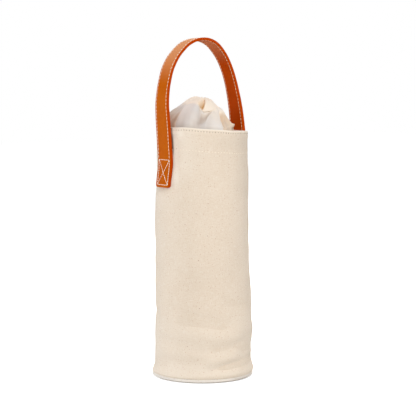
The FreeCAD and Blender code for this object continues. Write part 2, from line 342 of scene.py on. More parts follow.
def cottonFinish(name, look):
    finish, tree, shader = newFinish(name, roughness=0.9, specular=0.2, sheen=0.2)
    threads = weave(tree, look["pitch"])[1]
    body = ownPlace(tree)
    casingAndPaintedLight = painted(tree, "casingAndPaintedLight")
    cloudy = cloud(tree, body, (60, 3), 0.35, 0.75, 0, 0.3)
    # the cream is partly the casing's two layers and partly painted reflected light; the tan is painted
    # shade
    paintOver(tree, shader, look, "colour", [
        (casingAndPaintedLight, "cream"), (rangeOf(tree, casingAndPaintedLight, 1, 2.8), "slitShade"), (cloudy, "cream"),
        (painted(tree, "shade"), "shade")])
    creases = speckle(tree, body, 260, 4, 0.6)
    height = sums(tree, "ADD", sums(tree, "MULTIPLY", threads, 0.35), creases)
    addBump(tree, shader, height, 0.0002, 0.5)
    return finish


leatherLook = {"colour": (193, 96, 0), "deep": (166, 66, 0), "light": (208, 116, 24),
               "sheenTone": (228, 160, 112), "gloss": 0.013}
# a darker copy of the leather for the strap's inside face: painted shade
shadedInsideLook = {"colour": (172, 63, 0), "deep": (150, 49, 0), "light": (178, 80, 8),
              "sheenTone": (210, 138, 94), "gloss": 0.01}


def leatherFinish(name, look):
    finish, tree, shader = newFinish(name, roughness=0.5, specular=look["gloss"])
    body = ownPlace(tree)
    patchy = cloud(tree, body, (55, 4, 0.6), 0.3, 0.72)
    wornAndHighlight = cloud(tree, body, (380, 3), 0.55, 0.8, 0, 0.35)
    pores = addNode(tree, "ShaderNodeTexVoronoi", {"feature": "DISTANCE_TO_EDGE"}, Vector=body, Scale=1500)
    grain = rangeOf(tree, pores.outputs[0], 0, 0.22)
    # painted sheen: paler where the strap bends over the top of the arch
    paintOver(tree, shader, look, "deep", [
        (patchy, "colour"), (0.6, "colour"), (wornAndHighlight, "light"), (rangeOf(tree, grain, 0, 1, 0.22, 0), "deep"),
        (painted(tree, "paintedSheen"), "sheenTone")])
    tree.links.new(cloud(tree, body, (900, 2), 0.3, 0.7, 0.4, 0.54), shader.inputs["Roughness"])
    height = sums(tree, "ADD", grain, sums(tree, "MULTIPLY", speckle(tree, body, 500, 3), 1.5))
    addBump(tree, shader, height, 0.00006, 0.2)
    return finish


def plainFinish(name, colour, deep, roughness, scale, relief, specular):
    finish, tree, shader = newFinish(name, roughness, specular)
    share = cloud(tree, ownPlace(tree), (scale, 3, 0.6), 0.3, 0.7)
    paintOver(tree, shader, {"colour": colour, "deep": deep}, "deep", [(share, "colour")])
    addBump(tree, shader, share, relief, 0.5)
    return finish


canvas = canvasFinish("naturalCanvas", canvasLook)
# a paler copy of the canvas for the base panel: painted light, brighter than the body's cloth
litBandLook = {**canvasLook, "colour": (252, 247, 240), "shade": (244, 236, 227)}
litCanvasBase = canvasFinish("naturalCanvasLitBase", litBandLook)
cotton = cottonFinish("pouchCotton", cottonLook)
leather = leatherFinish("tanLeather", leatherLook)
shadedLeather = leatherFinish("tanLeatherShaded", shadedInsideLook)
# colour, its deeper tone, roughness, grain to a metre, relief, gloss
edgePaint = plainFinish("tanEdgePaint", (190, 70, 0), (174, 58, 0), 0.5, 900, 0.00004, 0.02)
paleThread = plainFinish("paleThread", (255, 246, 232), (248, 232, 212), 0.7, 3500, 0.0001, 0.2)
# a warmer copy of the pale thread for the stitches on the strap's inside face: painted shade with the
# leather's reflected light
shadedThread = plainFinish("paleThreadShaded", (255, 226, 190), (250, 212, 170), 0.7, 3500, 0.0001, 0.1)
naturalThread = plainFinish("naturalThread", (250, 238, 222), (240, 226, 206), 0.75, 3500, 0.0001, 0.3)
# dark dots between the rim's topstitches: painted shade of the needle holes
needleHoleShade = plainFinish("needleHoleShade", (132, 106, 80), (112, 88, 64), 0.9, 2500, 0.00005, 0.1)
cordCotton = plainFinish("drawCordCotton", (214, 172, 126), (184, 138, 92), 0.85, 1800, 0.0002, 0.2)
boardCard = plainFinish("baseBoardCard", (176, 158, 132), (150, 130, 104), 0.9, 700, 0.0002, 0.2)
print("finishes made:", len(bpy.data.materials))


# Canvas body: a soft cone that sags, with a roll above the base seam and a folded, topstitched rim

wall = {"thickness": 1.2, "rimRadius": 50.9, "creaseRadius": 55.2, "creaseHeight": 15, "around": 300,
        "rollBulge": 1.9, "rollHeight": 7.4, "rollWidth": 4.8, "rollTuck": 0.2, "sag": 0.5, "ripple": 0.17,
        "rimTilt": 3.2, "tiltTurn": -50, "rimBow": 0.85, "bowTurn": -20, "rimSag": 0.5, "sagTurn": 44,
        "puff": 0.45, "puffDrop": 6, "lowShift": 1, "topstitchDrop": 3, "hemDrop": 24.8, "stitchDip": 0.3,
        "seamTurn": -141, "seamDip": 0.5, "shadeAmount": 0.075, "strapShadow": 0.9, "strapShadowSpread": 1.5, "footRows": 26,
        "bodyRows": 128, "rimRows": 15, "insideRows": 22}

# where the left edge of the strap lies on the wall: height, turn
strapEdgeLine = [(208, -40.2), (226, -38.6), (250, -39.6), (262, -40.6), (272, -41.6), (281, -43.2)]

# folds pressed into the cloth: turn and height of both ends, reach above and below, depth out of the wall
pressedFolds = [
    (12, 15.8, 100, 21, 5.4, 3.2, -2.9),
    (4, 21.2, 48, 31.2, 6, 7, 2.2),
    (4, 35, 66, 44, 5.8, 6, -1.6),
    (-24, 55, 52, 48.5, 10, 8, 1.7),
    (-32, 70, 36, 59, 12, 7, -2.2),
    (-64, 45.5, -4, 41, 5.5, 6, -0.8),
    (-64, 34, 8, 29, 5, 5, 0.9),
    (-72, 20, -8, 21.5, 5, 4.4, -0.9),
    (38, 59, 110, 53, 8, 7, 1.3),
    (42, 36, 108, 34, 6, 6, -1.6),
    (22, 86.4, 62, 82.6, 5.5, 4.5, -1.2),
    (-33, 67.6, -7, 70.6, 6, 4.5, -1.2),
    (-96, 74, -62, 76, 6, 6, -1),
    (118, 26, 170, 20, 3.4, 3.4, -1.6),
    (150, 62, 205, 52, 5, 5, -1.1),
    (200, 22, 232, 34, 3.2, 3.2, -1.3),
    (128, 190, 176, 204, 6, 6, 0.8),
]

wallLow, wallHigh = cadLimits("canvas_body")
rimTop = float(wallHigh[2])
seamLow = float(wallLow[2])


def wallRadius(height):
    slope = (wall["creaseRadius"] - wall["rimRadius"]) / (rimTop - wall["creaseHeight"])
    return wall["creaseRadius"] - (height - wall["creaseHeight"]) * slope


def wallSag(turn, height):
    # slow unevenness of cloth that stands by itself, quiet near the stiff rim and the base
    calm = ease(14, 60, height) * (1 - 0.75 * ease(246, rimTop, height))
    slow = wall["sag"] * drift(5, turn, height, waves=9, mostAround=3, shortest=62)
    fine = wall["ripple"] * drift(8, turn, height, waves=14, mostAround=7, shortest=22)
    return calm * (slow + fine)


def wallFolds(turn, height):
    total = np.zeros(np.broadcast(turn, height).shape)
    perDegree = math.pi / 180 * wall["creaseRadius"]
    for turnA, heightA, turnB, heightB, above, below, depth in pressedFolds:
        across = turnGap(turn, turnA) * perDegree
        upward = height - heightA
        runAcross = turnGap(turnB, turnA) * perDegree
        runUp = heightB - heightA
        length = math.hypot(runAcross, runUp)
        along = (across * runAcross + upward * runUp) / length
        off = (across * runUp - upward * runAcross) / length
        fade = band(-0.1 * length, 0.2 * length, 0.8 * length, 1.1 * length, along)
        total += depth * fade * np.exp(-(off / np.where(off < 0, above, below)) ** 2)
    return total


def rimLift(turn, height):
    # the strap holds the rim up on the photograph's left and lets it down on the other side
    tilt = wall["rimTilt"] * np.cos(np.radians(turn - wall["tiltTurn"]))
    sag = wall["rimSag"] * nearTurn(turn, wall["sagTurn"], 16)
    bow = wall["rimBow"] * nearTurn(turn, wall["bowTurn"], 14)
    return (tilt - sag + bow) * ease(120, 250, height)


def onRim(turn, radius, height):
    return onTurn(turn, radius, height + rimLift(turn, height))


def lowLean(turn, height):
    # the foot of the body has crept towards the photograph's right, and the middle the other way
    share = band(5.5, 9, 40, 100, height)
    share = share - 0.5 * band(100, 140, 190, 250, height)
    return wall["lowShift"] * share * np.sin(np.radians(turn))


def rollOut(height):
    # the roll swells out of the wall and tucks under sharply at the seam
    below = np.clip((wall["rollHeight"] - height) / (wall["rollHeight"] - seamLow), 0, 1)
    return wall["rollBulge"] * np.where(height < wall["rollHeight"], 1 - wall["rollTuck"] * below ** 2,
                                        hump(height, wall["rollHeight"], wall["rollWidth"]))


def wallOut(turn, height):
    dips = hump(height, rimTop - wall["hemDrop"], 0.9)
    seam = wall["seamDip"] * nearTurn(turn, wall["seamTurn"], 0.7) * ease(8, 20, height)
    shape = wallRadius(height) + rollOut(height) + wallSag(turn, height) + wallFolds(turn, height)
    shape = shape + lowLean(turn, height)
    # the cloth swells a little below the topstitch, most of all beside the left tab
    puff = wall["puff"] * hump(height, rimTop - wall["puffDrop"], 2.4)
    puff = puff * (0.6 + 0.8 * nearTurn(turn, -20, 24))
    return shape + puff - wall["stitchDip"] * dips - seam


def paintCanvas(thing, turns, heights, foldRows, inside):
    top = heights[-1]
    # painted highlight: paler along the edge of the rim and the back of the roll
    paintedLight = np.maximum(0.9 * ease(rimTop - 2, top, heights), 0.2 * hump(heights, 9, 8))
    paintedLight = np.concatenate([paintedLight, np.ones(foldRows), 0.6 * ease(rimTop - 6, top, inside)])
    turn, height = np.meshgrid(turns, heights)
    edgeTurn = np.interp(height, *zip(*strapEdgeLine))
    onFront = 1 - 0.9 * ease(36, 60, np.abs(turnGap(turn, 0)))
    # painted light: paler patches that lift the shade beside the strap and its tab, under the rim, under the
    # roll, over the low wrinkles and on the front of the roll
    paler = np.maximum.reduce([
        0.9 * nearTurn(turn, edgeTurn + 3, 6) * ease(210, 226, height),  # beside the strap
        0.32 * hump(turn, -24, 16) * ease(215, 240, height),
        0.85 * hump(turn, -30, 8) * ease(262, 272, height),  # under the rim, beside the tab
        0.55 * fall(4.8, 6.4, height) * band(-45, -25, 95, 130, turn),  # under the roll
        0.16 * band(10, 24, 56, 90, height),  # the wrinkles low down
        0.36 * band(4, 9, 18, 32, height) * onFront,
    ])
    rest = np.zeros((foldRows + len(inside), wall["around"]))
    paintPoints(thing, "paintedHighlight", np.maximum(paintedLight[:, None], np.concatenate([paler, rest])))
    # painted shade: a little greyer under the rim and down the right side
    upper = ease(195, 215, height) * ease(38, 56, turn)
    underRim = ease(2, 26, turn) * (1 - 0.4 * ease(50, 70, turn)) * hump(height, 266, 8)
    grey = wall["shadeAmount"] * (upper + underRim) * fall(95, 120, turn)
    paintPoints(thing, "paintedShade", np.concatenate([grey, rest]))
    # painted shadow: a dark brown line on the cloth in the gap beside the strap's edge
    edgeGap = np.abs(turnGap(turn, edgeTurn)) / wall["strapShadowSpread"]
    strapShadow = wall["strapShadow"] * fall(0.6, 2.2, edgeGap) * ease(246, 258, height) * (1 - 0.4 * hump(height, 275, 4))
    paintPoints(thing, "strapShadow", np.concatenate([strapShadow, rest]))


def buildWall():
    turns = roundTurns(wall["around"], wall["seamTurn"])
    heights = np.concatenate([np.linspace(seamLow, 20, wall["footRows"]),
                              np.linspace(21.5, 272, wall["bodyRows"]),
                              np.linspace(273, rimTop - wall["thickness"] / 2, wall["rimRows"])])
    turn, height = np.meshgrid(turns, heights)
    outer = onRim(turn, wallOut(turn, height), height)
    # the fold at the rim is half a round, then the cloth runs down inside
    bend = np.radians(np.array([30, 60, 90, 120, 150]))
    half = wall["thickness"] / 2
    top = heights[-1]
    foldTurn, foldBend = np.meshgrid(turns, bend)
    foldRadius = wallOut(foldTurn, top) - half + half * np.cos(foldBend)
    fold = onTurn(foldTurn, foldRadius, top + half * np.sin(foldBend) + rimLift(foldTurn, top))
    inside = np.concatenate([[top], np.linspace(270, 22, wall["insideRows"]), [14, 9, 6.5, seamLow]])
    turn, height = np.meshgrid(turns, inside)
    deep = wallRadius(height) + wallSag(turn, height) - wall["thickness"]
    deep += rollOut(height) + lowLean(turn, height)
    inner = onRim(turn, deep, height)
    points = np.concatenate([outer, fold, inner])
    # measured along the cloth: up the outside, over the fold and down
    step = np.concatenate([[0], np.cumsum(np.abs(np.diff(np.concatenate([
        heights, top + half * np.sin(bend) + half * (1 - np.cos(bend)), inside]))))])
    step = np.append(step, step[-1] + wall["thickness"])
    cloth = clothGrid(wall["creaseRadius"], wall["around"], step)
    thing = faceOut(gridObject("canvasWall", points, along=True, cloth=cloth))
    paintCanvas(thing, turns, heights, len(bend), inside)
    dress(thing, canvas, "natural_canvas", "canvas_body")
    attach(thing, "carrier")
    return thing


canvasWall = buildWall()
print("canvas wall:", len(canvasWall.data.polygons), "faces")


# Facing folded down inside the rim, and the tab backings behind the strap ends

lining = {"setback": 0.1, "facingThick": 1.1, "facingFold": 0.6, "facingRows": 12, "around": 160,
          "backingThick": 0.9, "baseAround": 96, "baseRings": 14, "baseRipple": 0.08}


def buildFacing():
    low, high = cadLimits("rim_facing")
    turns = roundTurns(lining["around"], wall["seamTurn"])
    rows = lining["facingRows"]
    outside = np.linspace(low[2], high[2] - lining["facingFold"], rows)
    inside = outside[::-1]
    turn, height = np.meshgrid(turns, np.concatenate([outside, [high[2]], inside]))
    depth = np.full(height.shape, wall["thickness"] + lining["setback"])
    depth[rows] += lining["facingThick"] / 2
    depth[rows + 1:] += lining["facingThick"]
    radius = wallRadius(height) + wallSag(turn, height) - depth
    points = onRim(turn, radius, height)
    step = np.append(np.cumsum(np.abs(np.diff(height[:, 0], prepend=height[0, 0]))), high[2] - low[2] + 30)
    cloth = clothGrid(wall["rimRadius"], lining["around"], step)
    thing = faceOut(gridObject("rimFacing", points, along=True, cloth=cloth))
    dress(thing, canvas, "natural_canvas", "rim_facing")
    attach(thing, "carrier")


def buildBacking(side):
    node = side + "_tab_backing"
    low, high = cadLimits(node)
    middle = (180 if side == "left" else 0) - photoSide
    reach = math.degrees(math.asin(high[1] / wallRadius(low[2])))
    turns = middle + np.linspace(-reach, reach, 21)
    heights = np.linspace(low[2], high[2], 13)
    turn, height = np.meshgrid(turns, heights)
    radius = wallRadius(height) - wall["thickness"] - lining["setback"]
    outer = onTurn(turn, radius, height)
    inner = onTurn(turn, radius - lining["backingThick"], height)
    points = np.concatenate([outer, inner[:, ::-1]], axis=1)
    thing = faceOut(gridObject(side + "TabBacking", points, caps=True))
    dress(thing, canvas, "natural_canvas", node)
    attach(thing, "carrier")


buildFacing()
for side in ("left", "right"):
    buildBacking(side)
print("facing and backings made")


# Base: a canvas dish in a paler copy of the canvas, painted light, whose rolled edge shows under the wall,
# and the lining's own bottom

base = {"corner": 2.2, "thickness": 1.2, "lip": 0.15, "topGap": 0.1, "edgeDrop": 0.25, "swell": 1.7,
        "pucker": 0.06, "puckers": 46, "paintedShade": 0.55, "around": 230}


def buildBase():
    high = cadLimits("base_panel")[1]
    radius = high[0]
    flat = radius - base["corner"]
    top = high[2] - base["topGap"]
    bend = np.radians(np.linspace(0, 90, 9))
    profile = [(0, 0), (flat * 0.5, 0), (flat, 0)]
    profile += [(flat + base["corner"] * math.sin(a), base["corner"] * (1 - math.cos(a))) for a in bend[1:]]
    profile += [(radius - base["topGap"], top - base["edgeDrop"]), (radius - base["lip"], top)]
    profile += [(radius - base["thickness"], top)]
    inner = base["corner"] - base["thickness"]
    profile += [(flat + inner * math.sin(a), base["corner"] - inner * math.cos(a)) for a in bend[::-1]]
    profile += [(flat * 0.5, base["thickness"]), (0, base["thickness"])]
    profile = np.array(profile)
    turn, row = np.meshgrid(roundTurns(base["around"]), np.arange(len(profile)))
    out, height = profile[row, 0], profile[row, 1]
    wobble = drift(3, turn, height * 0, waves=6, mostAround=6, shortest=50)
    uneven = np.sin(np.radians(turn) * base["puckers"] + 1.6 * wobble)
    full = ease(0.2, 2.4, height) * (1 - 0.5 * ease(top - 1, top, height))
    ruffle = (base["pucker"] * uneven + base["swell"]) * full * (out > flat)
    points = onTurn(turn, out + ruffle, height)
    reach = np.append(np.cumsum(np.hypot(*np.diff(profile, axis=0, prepend=profile[:1]).T)), 130)
    thing = gridObject("basePanel", points, cloth=clothGrid(radius, base["around"], reach))
    # painted shade: darker along the edge that the carrier stands on, more towards the right, and up the
    # band away from the front
    fromFront = turnGap(turn, 0)
    sides = 0.06 + 0.2 * ease(18, 50, np.abs(fromFront)) + 0.16 * ease(28, 56, fromFront)
    edge = base["paintedShade"] + 0.4 * ease(15, 45, fromFront)
    paintedShade = np.maximum(edge * fall(0.2, 1.4, height), sides * fall(2, 3.4, height))
    paintPoints(thing, "paintedShade", paintedShade * (out > flat - 3))
    thing = closePoles(thing)
    dress(thing, litCanvasBase, "natural_canvas", "base_panel")
    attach(thing, "carrier")


def buildLiningBase():
    low, high = cadLimits("lining_base")
    outward = np.linspace(0, high[0], lining["baseRings"])
    radii = np.concatenate([outward, np.linspace(high[0], 0, lining["baseRings"])])
    turn, row = np.meshgrid(roundTurns(lining["baseAround"]), np.arange(len(radii)))
    ripple = lining["baseRipple"] * drift(12, turn, radii[row], waves=8, mostAround=4, shortest=40)
    height = np.where(row < lining["baseRings"], low[2], high[2]) + ripple
    thing = closePoles(gridObject("liningBase", onTurn(turn, radii[row], height)))
    dress(thing, cotton, "pouch_cotton", "lining_base")
    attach(thing, "carrier")


buildBase()
buildLiningBase()
print("base made")


# Cotton pouch: one cloth from the bottom of the lining to its drawn mouth, which folds in round the cord

pouch = {"around": 360, "thickness": 0.45, "wrinkle": 0.16, "foldSoftening": 1, "sideSoftening": 6,
         "backFold": 2, "backFolds": 12, "backTurn": 112, "backPitch": 13.6, "pleat": 0.9, "pleatTurn": -46,
         "pleatPhase": 44, "pleatCount": 64, "earTurn": 67, "earWidth": 9, "earPlace": 2.1, "earStand": 2.9,
         "sleeveGap": 3.2, "returnDepth": 10, "returnLip": 1.2}

# the crown by turn, all round: distance from the axis and height of the cloth at the rim, three times
# up the dome, under the casing, at the casing's lower edge, its belly, its top, and the mouth
crownSides = {
    -135: [(46.8, 281), (42.5, 289.6), (35, 296.8), (27, 302.6), (19.6, 307), (18.2, 309.2), (13.4, 312.8),
           (8.6, 314.9), (5.6, 315.2)],
    -90: [(47, 281), (42.8, 289.4), (35.4, 296.8), (27, 303), (20.4, 307.6), (18.4, 309.6), (13.6, 313),
          (8.4, 315), (5.5, 315.2)],
    -55: [(46.8, 281), (43.2, 289.2), (36.6, 296.2), (27.8, 302.6), (20.4, 307.2), (18.2, 309.2),
          (13.6, 312.6), (8.6, 314.8), (5.5, 315.2)],
    -14: [(46.5, 281), (42.5, 289), (35, 296.3), (26, 302.6), (18.8, 307), (17.4, 308.8), (12.8, 312.2),
          (8.3, 314.4), (5.5, 314.8)],
    -6: [(46.5, 281), (42.2, 287.6), (34.5, 294), (26, 298.8), (18.6, 302), (18.4, 304), (13.8, 309.6),
         (8.8, 313.6), (5.6, 314.4)],
    5: [(46.5, 281), (42, 286.2), (34, 291.6), (26, 296), (18, 298.8), (18.6, 300.2), (15.2, 306.6),
        (9.8, 312), (6, 313.7)],
    36: [(45.5, 281), (40.5, 285.8), (32, 290.6), (24, 295.4), (16.4, 299.4), (17.4, 301.2), (14.8, 305.8),
         (10.2, 311.1), (6.2, 313.3)],
    50: [(41, 280), (38.6, 285.2), (31.8, 290.2), (24.6, 295.6), (18, 301.4), (16.8, 303.6), (14.2, 307.4),
         (10.1, 311.6), (6.3, 313.3)],
    68: [(35, 278.5), (36, 284.4), (31, 289.8), (25.6, 295.9), (21.4, 301.8), (16.6, 304.4), (13.6, 308.2),
         (9.8, 312.1), (6.3, 313.2)],
    90: [(34, 277), (34.4, 284), (29.6, 290.4), (25.4, 296.5), (21.8, 302), (16.4, 304.7), (13.2, 308.4),
         (9.3, 312.4), (6.4, 313.2)],
    112: [(40, 277), (37, 285), (30.8, 291.6), (25, 297.4), (19.6, 302.2), (16.8, 305), (13.4, 309),
          (9.1, 312.8), (6.2, 313.5)],
    145: [(45, 279), (40.5, 288), (33.5, 295.2), (26.2, 300.4), (18.8, 303.8), (17.8, 306), (13.8, 310.4),
          (9, 313.4), (6, 314)],
    180: [(46.5, 281), (42, 289.6), (35, 296.8), (27, 302), (19.2, 305.4), (18.8, 307.4), (13.8, 311.6),
          (9, 314.2), (5.8, 314.8)],
}
crownFoot = (47.4, 262)

# fold lines of the front, left to right: at some of those nine places, turn and how far the cloth stands out
foldLines = [
    {1: (-76, 0.6), 2: (-78, 1.2), 3: (-80, 1.4), 4: (-86, 1.6), 5: (-94, 1.4), 6: (-96, 0.6),
     9: (-104, 0)},
    {1: (-57, -0.6), 2: (-57, -1), 3: (-59, -1.2), 4: (-66, -1), 5: (-76, -0.4), 6: (-80, -0.1),
     9: (-86, 0)},
    {1: (-39, 0.6), 2: (-39, 1.7), 3: (-40, 2.2), 4: (-46, 2), 5: (-57, 1.1), 6: (-62, 0.4),
     9: (-68, 0.1)},
    {1: (-28, 0), 3: (-29, 1.3), 4: (-33, 1.4), 5: (-40, 0.8), 6: (-43, 0.3), 9: (-48, 0.1)},
    {1: (-17, 0.4), 2: (-18, 1.1), 3: (-19, 1.4), 4: (-21, 1.3), 5: (-23, 0.8), 6: (-25, 0.5),
     7: (-22, 0.6), 8: (-12, 0.5), 9: (-5, 0.3)},
    {1: (-10, 0), 2: (-11, -0.4), 3: (-12, -0.2), 4: (-14, 0), 5: (-17, 0.2), 6: (-14, 0.6), 7: (-6, 0.9),
     8: (2, 0.8), 9: (10, 0.5)},
    {1: (-6, -0.8), 2: (-6, -2.8), 3: (-6, -3.2), 4: (-7, -2.5), 5: (-9, -2.5), 6: (-4, -3.2),
     7: (5, -2.4), 8: (12.5, -1), 9: (22, -0.5)},
    {1: (-3, -0.5), 2: (-2.5, -1.8), 3: (-1, -2.4), 4: (3, -1.6), 5: (-3.5, -0.4), 6: (1.5, 0.7),
     7: (10, 1.2), 8: (22, 0.9), 9: (34, 0.5)},
    {1: (0, -0.2), 2: (0.5, -0.6), 3: (4, -0.4), 4: (12, -0.6), 5: (18, -0.4), 6: (24, 0.2), 7: (31, 0.2),
     8: (43, 0.1), 9: (54, 0.1)},
    {1: (2.7, 0.6), 2: (4.5, 2.3), 3: (10, 4), 4: (22, 4.3), 5: (41, 2.2), 6: (55, 0.9), 7: (58, 0.7),
     8: (62, 0.4), 9: (70, 0.2)},
    {1: (28.5, -0.4), 2: (32, 0.2), 3: (37.5, 0.9), 4: (49, 1), 5: (61, 0.5), 6: (65, 0.1), 7: (67, 0),
     9: (77, 0)},
    {1: (31.5, -1.8), 2: (35, -2.9), 3: (41.5, -3.1), 4: (53, -2.6), 5: (66, -1.5), 6: (70, -0.6),
     7: (72, -0.3), 9: (82, -0.2)},
    {1: (36.5, -0.2), 2: (40, 0.4), 3: (48, 0.8), 4: (60.5, 0.9), 5: (76, 0.8), 6: (80, 0.5),
     9: (91, 0.4)},
    {1: (41, -0.8), 2: (45.5, -1.4), 3: (54.5, -1.2), 4: (67, -0.6), 5: (84, -0.3), 6: (88, -0.5),
     9: (100, -0.3)},
    {1: (56, 0.8), 2: (60, 1), 3: (70, 0.8), 4: (82, 0.6), 5: (95, 0.5), 6: (98, 0.5), 9: (110, 0.4)},
]
for count in range(pouch["backFolds"]):
    # the back is drawn into even pleats, which no photograph shows
    middle = pouch["backTurn"] + pouch["backPitch"] * count
    out = pouch["backFold"] * (1 if count % 2 else -1) * (1 + 0.25 * math.cos(2.3 * count))
    foldLines.append({1: (middle, 0.15 * out), 3: (middle, 0.6 * out), 5: (middle + 2, out),
                      6: (middle + 2, 0.9 * out), 9: (middle + 5, 0.4 * out)})


def alongKeys(table, at):
    # a smooth line through the rows of a table
    last = len(table) - 1
    low = np.clip(np.floor(at).astype(int), 0, last - 1)
    share = (at - low)[:, None]
    before, here, after, beyond = (table[np.clip(low + k, 0, last)] for k in (-1, 0, 1, 2))
    bend = 2 * before - 5 * here + 4 * after - beyond
    twist = 3 * here - before - 3 * after + beyond
    return 0.5 * (2 * here + (after - before) * share + bend * share ** 2 + twist * share ** 3)


def blurRound(rows, passes):
    for again in range(passes):
        rows = 0.5 * rows + 0.25 * (np.roll(rows, 1, axis=1) + np.roll(rows, -1, axis=1))
    return rows


def crownFolds(turns, places):
    rows = []
    for place in places:
        where, stand = ([np.interp(place, list(line), [spot[part] for spot in line.values()])
                         for line in foldLines] for part in (0, 1))
        rows.append(np.interp(turns, where, stand, period=360) * ease(0.3, 1.2, place))
    return blurRound(np.array(rows), pouch["foldSoftening"])


def crownShape(turns, places):
    sides = sorted(crownSides)
    shape = []
    for part in (0, 1):
        rows = [np.full(len(turns), crownFoot[part])]
        for key in range(9):
            spots = [crownSides[side][key][part] for side in sides]
            rows.append(np.interp(turns, sides, spots, period=360))
        shape.append(alongKeys(blurRound(np.array(rows), pouch["sideSoftening"]), places))
    return shape


def pleatWave(turn):
    # small pleats where the cloth goes down behind the left leg
    return np.sin(np.radians(turn + pouch["pleatPhase"]) * pouch["pleatCount"])


def buildPouch():
    turns = roundTurns(pouch["around"], wall["seamTurn"])
    rowsBetween = (5, 9, 10, 10, 11, 7, 9, 8, 5)
    places = np.concatenate([k + np.arange(n) / n for k, n in enumerate(rowsBetween)] + [[9]])
    turn, place = np.meshgrid(turns, places)
    out, height = crownShape(turns, places)
    rise = np.gradient(height, axis=0)
    run = np.gradient(out, axis=0)
    size = np.hypot(rise, run)
    stand = crownFolds(turns, places)
    wrinkles = drift(23, turn, place * 7, waves=16, mostAround=14, shortest=14)
    stand += pouch["wrinkle"] * wrinkles * ease(0.8, 2, place)
    pleats = pouch["pleat"] * pleatWave(turn) * hump(turn, pouch["pleatTurn"], 5)
    stand += pleats * band(0.6, 1.2, 1.8, 2.8, place)
    # the pointed ear that the cloth makes on the right, and the hollow below it
    ear = np.exp(-np.abs(turnGap(turn, pouch["earTurn"])) / pouch["earWidth"])
    stand += pouch["earStand"] * ear * np.exp(-np.abs(place - pouch["earPlace"]) / 0.26)
    stand -= 0.8 * ear * hump(place, 1.3, 0.35)
    out = out + stand * rise / size
    height = height - stand * run / size + rimLift(turn, height) * fall(0, 5, place)
    # the sleeve below and the hem that turns in at the mouth
    sleeveLow = cadLimits("lining_sleeve")[0][2]
    sleeveHeights = np.linspace(sleeveLow, crownFoot[1] - 6, 12)
    sleeveTurn, sleeveHeight = np.meshgrid(turns, sleeveHeights)
    sleeveOut = wallRadius(sleeveHeight) - pouch["sleeveGap"]
    sleeveOut += 0.25 * drift(31, sleeveTurn, sleeveHeight, waves=9, mostAround=5, shortest=60)
    inward = np.linspace(0, 1, 9)[1:, None]
    lip = out[-1] + pouch["returnLip"] * (inward - np.sin(inward * math.pi))
    drop = height[-1] - pouch["returnDepth"] * inward ** 1.4
    out = np.concatenate([sleeveOut, out, lip])
    height = np.concatenate([sleeveHeight, height, drop])
    points = onTurn(np.broadcast_to(turns, out.shape), out, height)
    lengths = np.linalg.norm(np.diff(points, axis=0), axis=-1).mean(axis=1)
    upward = np.concatenate([[0], np.cumsum(lengths)])
    thing = gridObject("cottonPouch", points, cloth=clothGrid(crownFoot[0], pouch["around"], upward))
    row = np.concatenate([np.zeros(len(sleeveHeights)), places, np.full(len(inward), 10)])
    hollow = np.zeros(out.shape)
    hollow[len(sleeveHeights):-len(inward)] = blurRound(stand, 40) - stand
    paintCotton(thing, np.broadcast_to(turns, out.shape), np.broadcast_to(row[:, None], out.shape), hollow)
    shell = thing.modifiers.new("clothThickness", "SOLIDIFY")
    shell.thickness = pouch["thickness"] * mm
    shell.offset = -1
    applyModifiers(thing)
    dress(thing, cotton, "pouch_cotton", "lining_sleeve", "pouch_crown", "mouth_casing")
    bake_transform(thing)
    return thing


def byPlace(place, *values):
    # values at the crown's places from the first on, and between them
    return np.interp(place, np.arange(len(values)) + 1, values)


